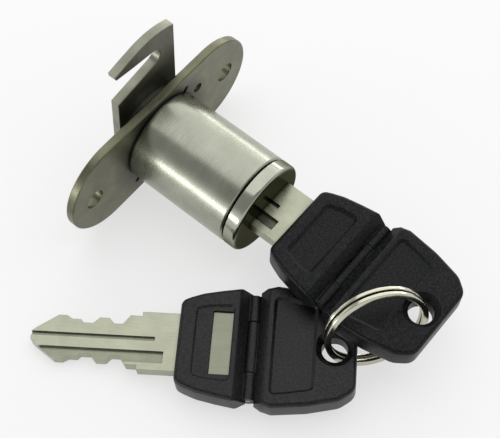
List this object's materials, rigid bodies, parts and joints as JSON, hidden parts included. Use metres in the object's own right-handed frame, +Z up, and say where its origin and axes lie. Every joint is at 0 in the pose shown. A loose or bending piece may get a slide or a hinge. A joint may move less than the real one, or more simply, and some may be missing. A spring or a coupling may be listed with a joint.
{
  "type": "pedestal cam lock",
  "caption": "Quarter-turn furniture cam lock with a slotted hook cam, an obround screw flange and two folding keys on a split ring.",
  "frame": {"origin": "on the lock axis in the flange's panel face, midway between the two screw holes", "axes": "+Z up through the hook cam, -Y along the lock axis towards the keys, X along the flange"},
  "size_m": [0.0704, 0.0731, 0.036],
  "materials": {
    "barrel_nickel": "satin nickel plate, turned",
    "flange_steel": "satin plated sheet",
    "plug_nickel": "polished nickel face",
    "cam_steel": "dull plated sheet",
    "inner_steel": "plated",
    "wafer_brass": "stamped",
    "spring_steel": "bright wire",
    "key_nickel": "nickel plate, faintly brushed",
    "grip_plastic": "black, fine speckle",
    "ring_nickel": "bright nickel plate"
  },
  "bodies": {
    "lock_body": {"barrel": "barrel_nickel", "flange_plate": "flange_steel", "stop_pin": "inner_steel"},
    "plug_body": {"plug": "plug_nickel", "wafer_1": "wafer_brass", "wafer_2": "wafer_brass", "wafer_3": "wafer_brass", "wafer_4": "wafer_brass", "wafer_5": "wafer_brass", "wafer_spring_1": "spring_steel", "wafer_spring_2": "spring_steel", "wafer_spring_3": "spring_steel", "wafer_spring_4": "spring_steel", "wafer_spring_5": "spring_steel", "retainer_wafer": "wafer_brass", "retainer_spring": "spring_steel", "stop_washer": "inner_steel", "hook_cam": "cam_steel", "lock_washer": "inner_steel", "cam_screw": "inner_steel"},
    "key": {"key_blade": "key_nickel", "key_front_grip": "grip_plastic"},
    "key_head": {"key_rear_grip": "grip_plastic", "key_hinge_pin": "inner_steel"},
    "key_ring": {"split_ring": "ring_nickel"},
    "spare_key_head": {"spare_key_rear_grip": "grip_plastic", "spare_key_hinge_pin": "inner_steel"},
    "spare_key": {"spare_key_blade": "key_nickel", "spare_key_front_grip": "grip_plastic"}
  },
  "joints": [
    {"name": "plug_turn", "type": "hinge", "parent": "lock_body", "child": "plug_body", "pos_m": [0, 0, 0], "axis": [0, -1, 0], "range_deg": [0, 90]},
    {"name": "key_slide", "type": "slide", "parent": "plug_body", "child": "key", "axis": [0, -1, 0], "range_m": [0, 0.026]},
    {"name": "key_fold", "type": "hinge", "parent": "key", "child": "key_head", "pos_m": [0.001, -0.0458, 0], "axis": [-1, 0, 0], "range_deg": [0, 90]},
    {"name": "ring_swing", "type": "hinge", "parent": "key_head", "child": "key_ring", "pos_m": [0.001, -0.0609, 0], "axis": [0, 0, 1], "range_deg": [0, 60]},
    {"name": "spare_key_travel", "type": "hinge", "parent": "key_ring", "child": "spare_key_head", "pos_m": [-0.00564, -0.05597, -0.00082], "axis": [-0.5503, -0.7945, 0.2568], "range_deg": [0, 35]},
    {"name": "spare_key_fold", "type": "hinge", "parent": "spare_key_head", "child": "spare_key", "pos_m": [-0.02126, -0.04018, -0.00661], "axis": [0.8211, 0.5707, 0], "range_deg": [0, 90]}
  ]
}
